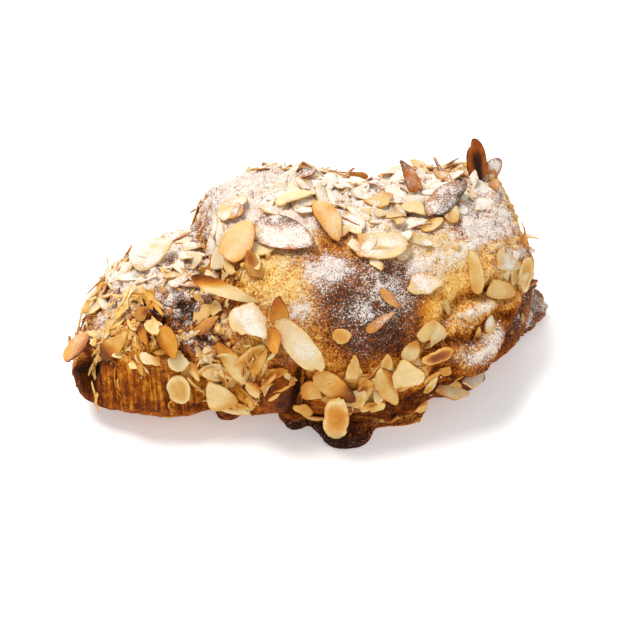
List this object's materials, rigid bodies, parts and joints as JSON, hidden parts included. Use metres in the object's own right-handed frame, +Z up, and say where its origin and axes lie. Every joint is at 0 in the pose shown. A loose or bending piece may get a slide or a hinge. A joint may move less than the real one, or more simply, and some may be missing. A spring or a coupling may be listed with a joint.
{
  "type": "almond croissant",
  "caption": "Baked almond croissant: a blunt rolled pastry under an uneven almond crust with toasted almond flakes, resting flat on its base.",
  "frame": {"origin": "under the middle of the whole pastry, on the surface it rests on", "axes": "+X along the roll from the narrower stepped end to the broad end, -Y towards the front, +Z up"},
  "size_m": [0.1728, 0.1084, 0.0672],
  "materials": {
    "crust": "baked, flaky and dusted with icing sugar",
    "almond": "dry and slightly satin, pale",
    "toasted_almond": "dry and slightly satin, toasted brown"
  },
  "bodies": {
    "root": {"almond_flake_01": "toasted_almond", "almond_flake_02": "toasted_almond", "almond_flake_03": "almond", "almond_flake_04": "toasted_almond", "almond_flake_05": "almond", "almond_flake_06": "toasted_almond", "almond_flake_07": "almond", "almond_flake_08": "almond", "almond_flake_09": "almond", "almond_flake_10": "almond", "almond_flake_11": "almond", "almond_flake_12": "almond", "almond_flake_13": "almond", "almond_flake_14": "toasted_almond", "almond_flake_15": "almond", "almond_flake_16": "toasted_almond", "almond_flake_17": "toasted_almond", "almond_flake_18": "almond", "almond_flake_19": "almond", "almond_flake_20": "toasted_almond", "almond_flake_21": "almond", "almond_flake_22": "toasted_almond", "almond_flake_23": "almond", "almond_flake_24": "toasted_almond", "almond_flake_25": "almond", "almond_flake_26": "almond", "almond_flake_27": "almond", "almond_flake_28": "toasted_almond", "almond_flake_29": "almond", "almond_flake_30": "almond", "almond_flake_31": "almond", "almond_flake_32": "almond", "almond_flake_33": "almond", "almond_flake_34": "almond", "almond_flake_35": "toasted_almond", "almond_flake_36": "almond", "almond_flake_37": "almond", "almond_flake_38": "toasted_almond", "almond_flake_39": "toasted_almond", "almond_flake_40": "almond", "almond_flake_41": "toasted_almond", "croissant": "crust"}
  },
  "joints": []
}
